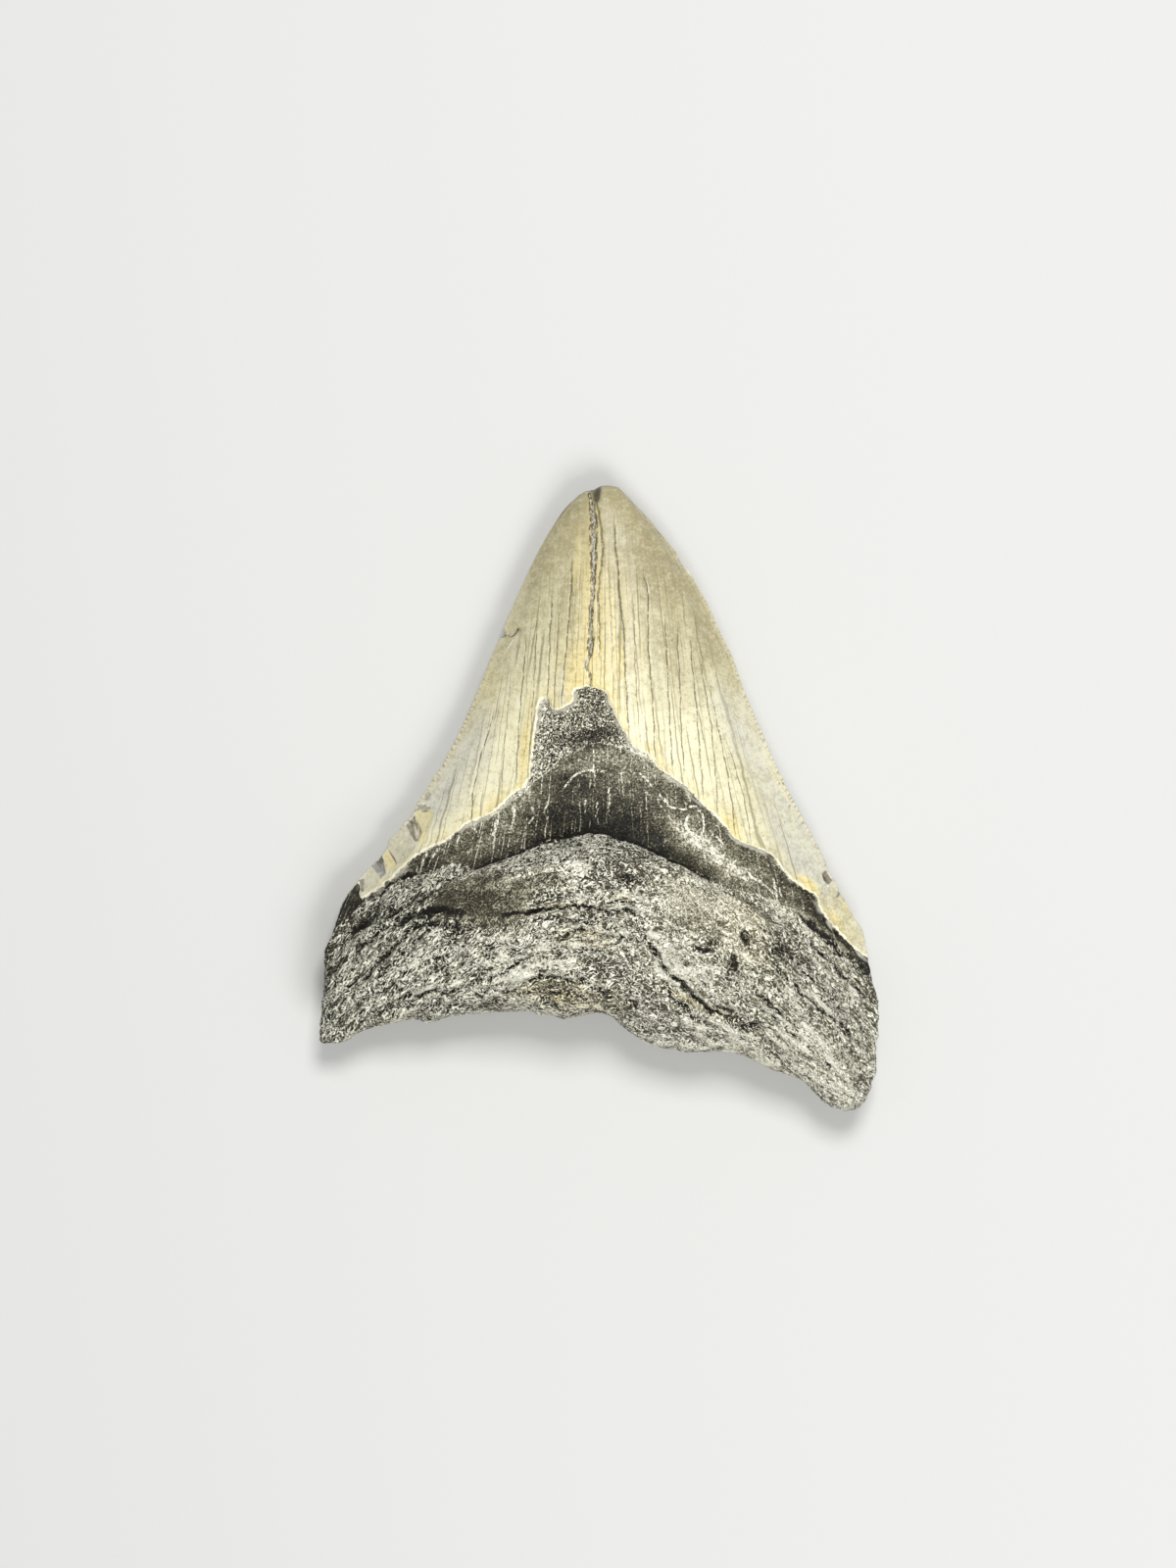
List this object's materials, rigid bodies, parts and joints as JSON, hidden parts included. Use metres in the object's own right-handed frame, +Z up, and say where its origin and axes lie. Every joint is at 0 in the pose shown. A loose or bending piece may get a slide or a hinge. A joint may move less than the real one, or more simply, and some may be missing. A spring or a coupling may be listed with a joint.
{
  "type": "megalodon tooth",
  "caption": "Fossil shark tooth with a broad serrated crown, a dark chevron neck band and a thick granular root with lobes, lying on its flatter face.",
  "frame": {"origin": "under the middle of the tooth, on the surface that it lies on", "axes": "+Y from the root to the tip, +Z up out of the lingual face, +X across the tooth to the right seen from above with the tip away"},
  "size_m": [0.0858, 0.096, 0.0206],
  "materials": {
    "fossil_tooth": "mineralised enamel, satin and finely cracked on the crown, and a rough granular root"
  },
  "bodies": {
    "root": {"tooth": "fossil_tooth"}
  },
  "joints": []
}
